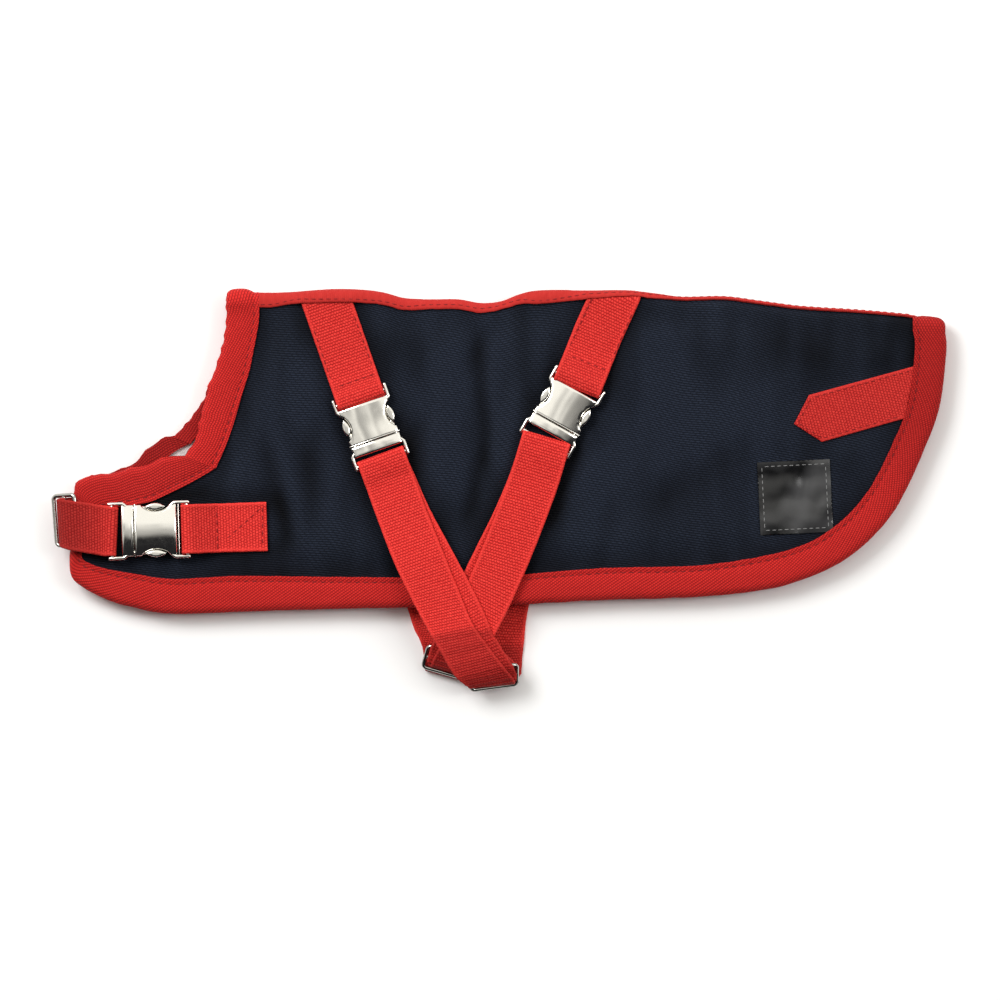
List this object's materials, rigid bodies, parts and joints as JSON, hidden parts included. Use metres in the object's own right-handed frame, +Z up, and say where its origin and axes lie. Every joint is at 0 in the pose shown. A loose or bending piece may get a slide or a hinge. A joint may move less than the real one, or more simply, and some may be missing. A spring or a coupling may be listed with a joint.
{
  "type": "dog coat",
  "caption": "Dog coat folded flat along its spine, with tape-bound edges, webbing belly and chest straps, side-release buckles, wire sliders, a tail tab and a bare square patch.",
  "frame": {"origin": "centre of the bounding box's underside, on the surface the folded coat lies on", "axes": "+X to the tail, along the spine; +Y to the spine, across the folded coat; +Z up, away from the surface, through both folded halves"},
  "size_m": [0.448, 0.201, 0.0209],
  "materials": {
    "shell": "dark navy woven nylon",
    "lining": "pale napped lining",
    "binding": "red twill tape",
    "webbing": "bright red woven webbing",
    "metal": "bright nickel",
    "patch": "glossy black"
  },
  "bodies": {
    "root": {"shell_near": "shell", "shell_far": "shell", "lining_near": "lining", "lining_far": "lining", "hem_binding_near": "binding", "hem_binding_far": "binding", "neck_binding_near": "binding", "neck_binding_far": "binding", "spine_tape": "binding", "tail_tab": "webbing", "label_patch": "patch", "strap_anchor_a": "webbing", "strap_anchor_b": "webbing", "strap_anchor_chest": "webbing", "strap_adjuster_a": "webbing", "strap_adjuster_b": "webbing", "strap_adjuster_chest": "webbing", "buckle_socket_a": "metal", "buckle_socket_b": "metal", "buckle_socket_chest": "metal", "buckle_plug_a": "metal", "buckle_plug_b": "metal", "buckle_plug_chest": "metal", "slider_a": "metal", "slider_b": "metal", "slider_chest": "metal"}
  },
  "joints": []
}
